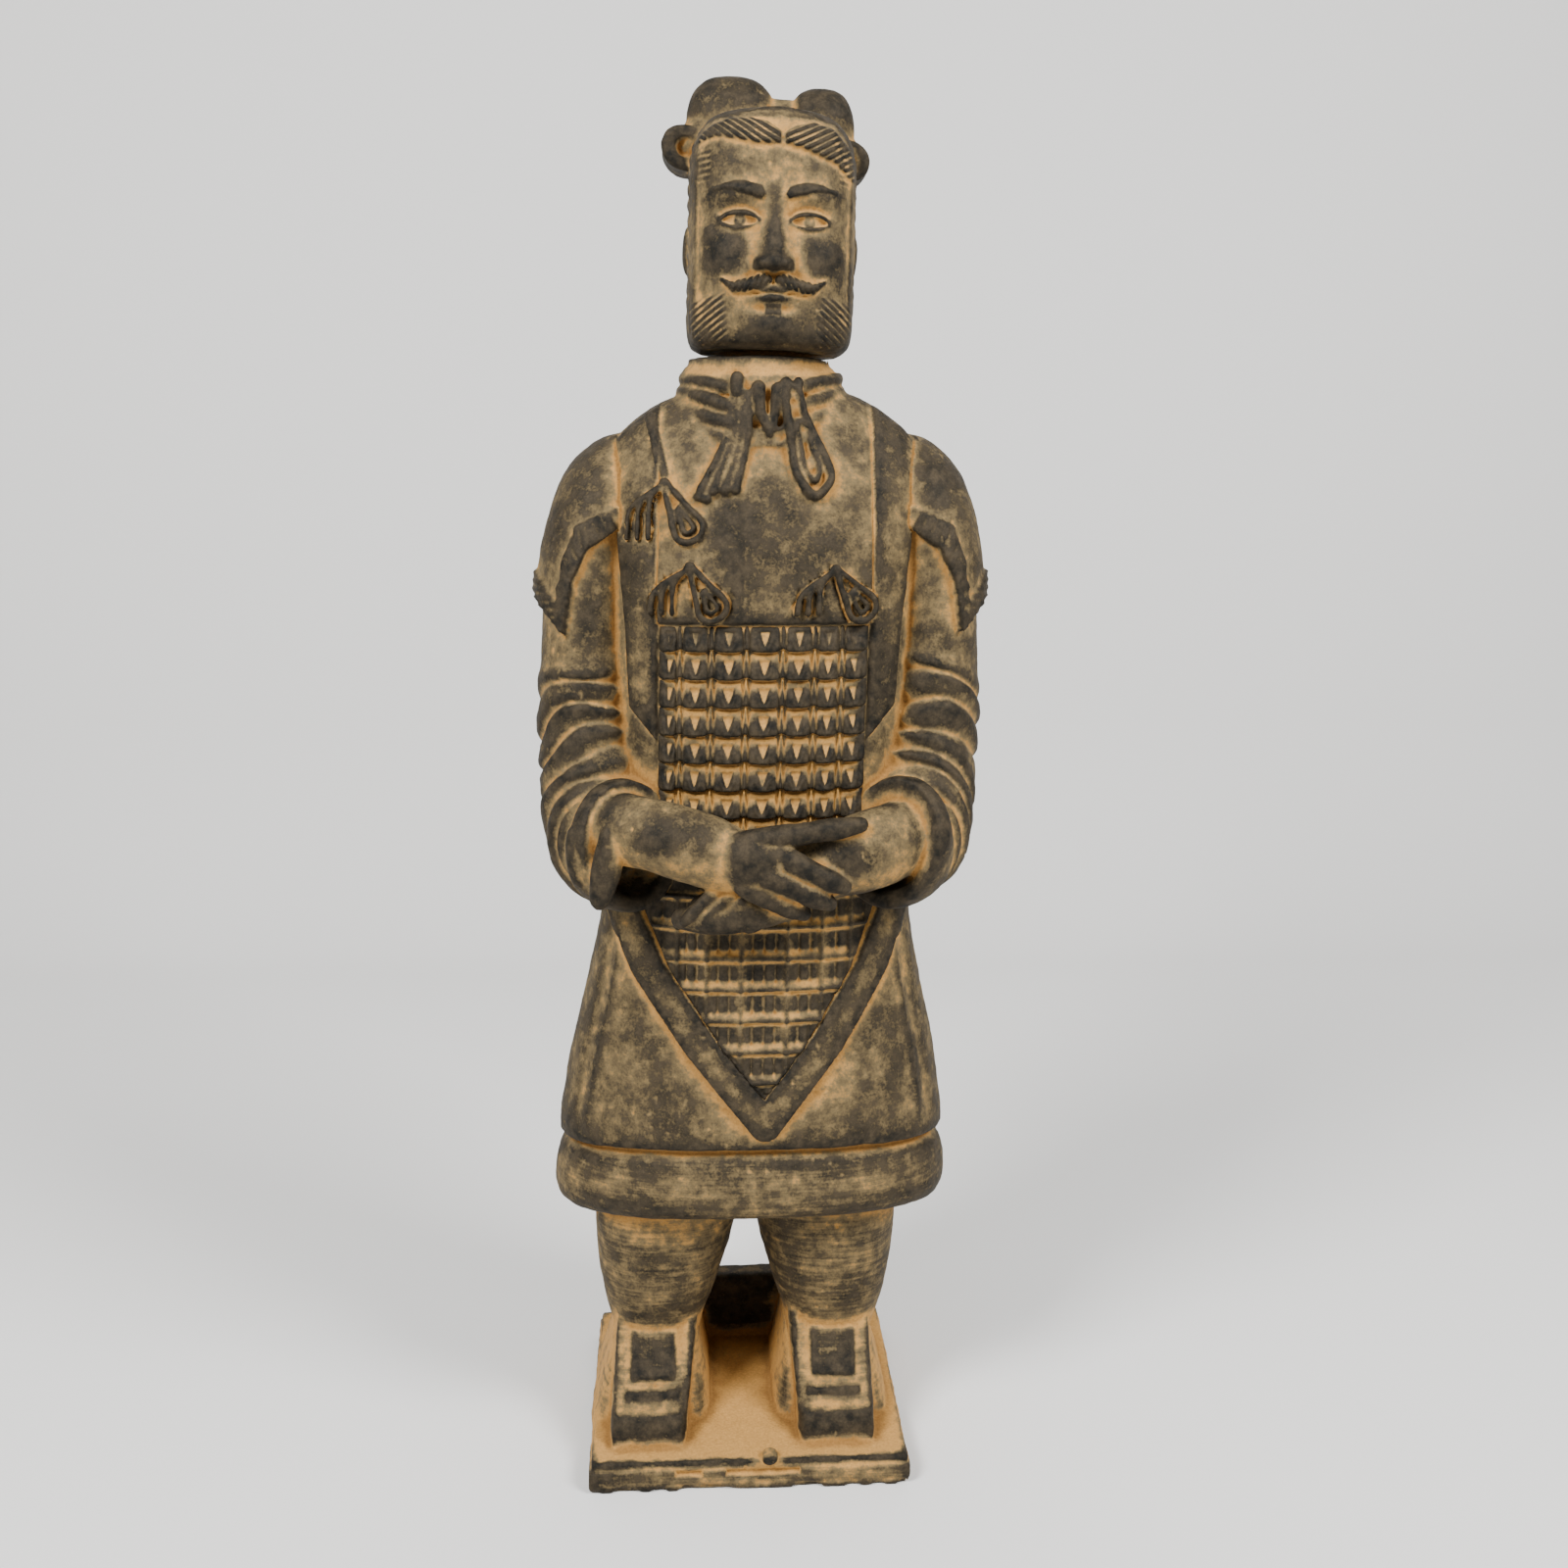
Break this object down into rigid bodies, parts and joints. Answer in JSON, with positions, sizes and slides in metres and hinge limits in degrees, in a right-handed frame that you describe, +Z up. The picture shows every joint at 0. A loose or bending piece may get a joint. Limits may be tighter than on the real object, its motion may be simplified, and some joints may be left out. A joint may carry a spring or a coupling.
{
  "type": "terracotta warrior statue",
  "caption": "Standing clay warrior in scale armour with crossed hands on a square plinth, with a separate lift-out head under a rolled cap.",
  "frame": {"origin": "middle of the plinth's underside", "axes": "+Z up along the figure, -Y the way the figure faces, +X to its left"},
  "size_m": [0.118, 0.087, 0.362],
  "materials": {
    "body_clay": "unglazed terracotta with dark brushed patina on the raised surfaces",
    "head_clay": "unglazed terracotta with dark brushed patina on the raised surfaces"
  },
  "bodies": {
    "root": {"body": "body_clay", "head": "head_clay"}
  },
  "joints": []
}
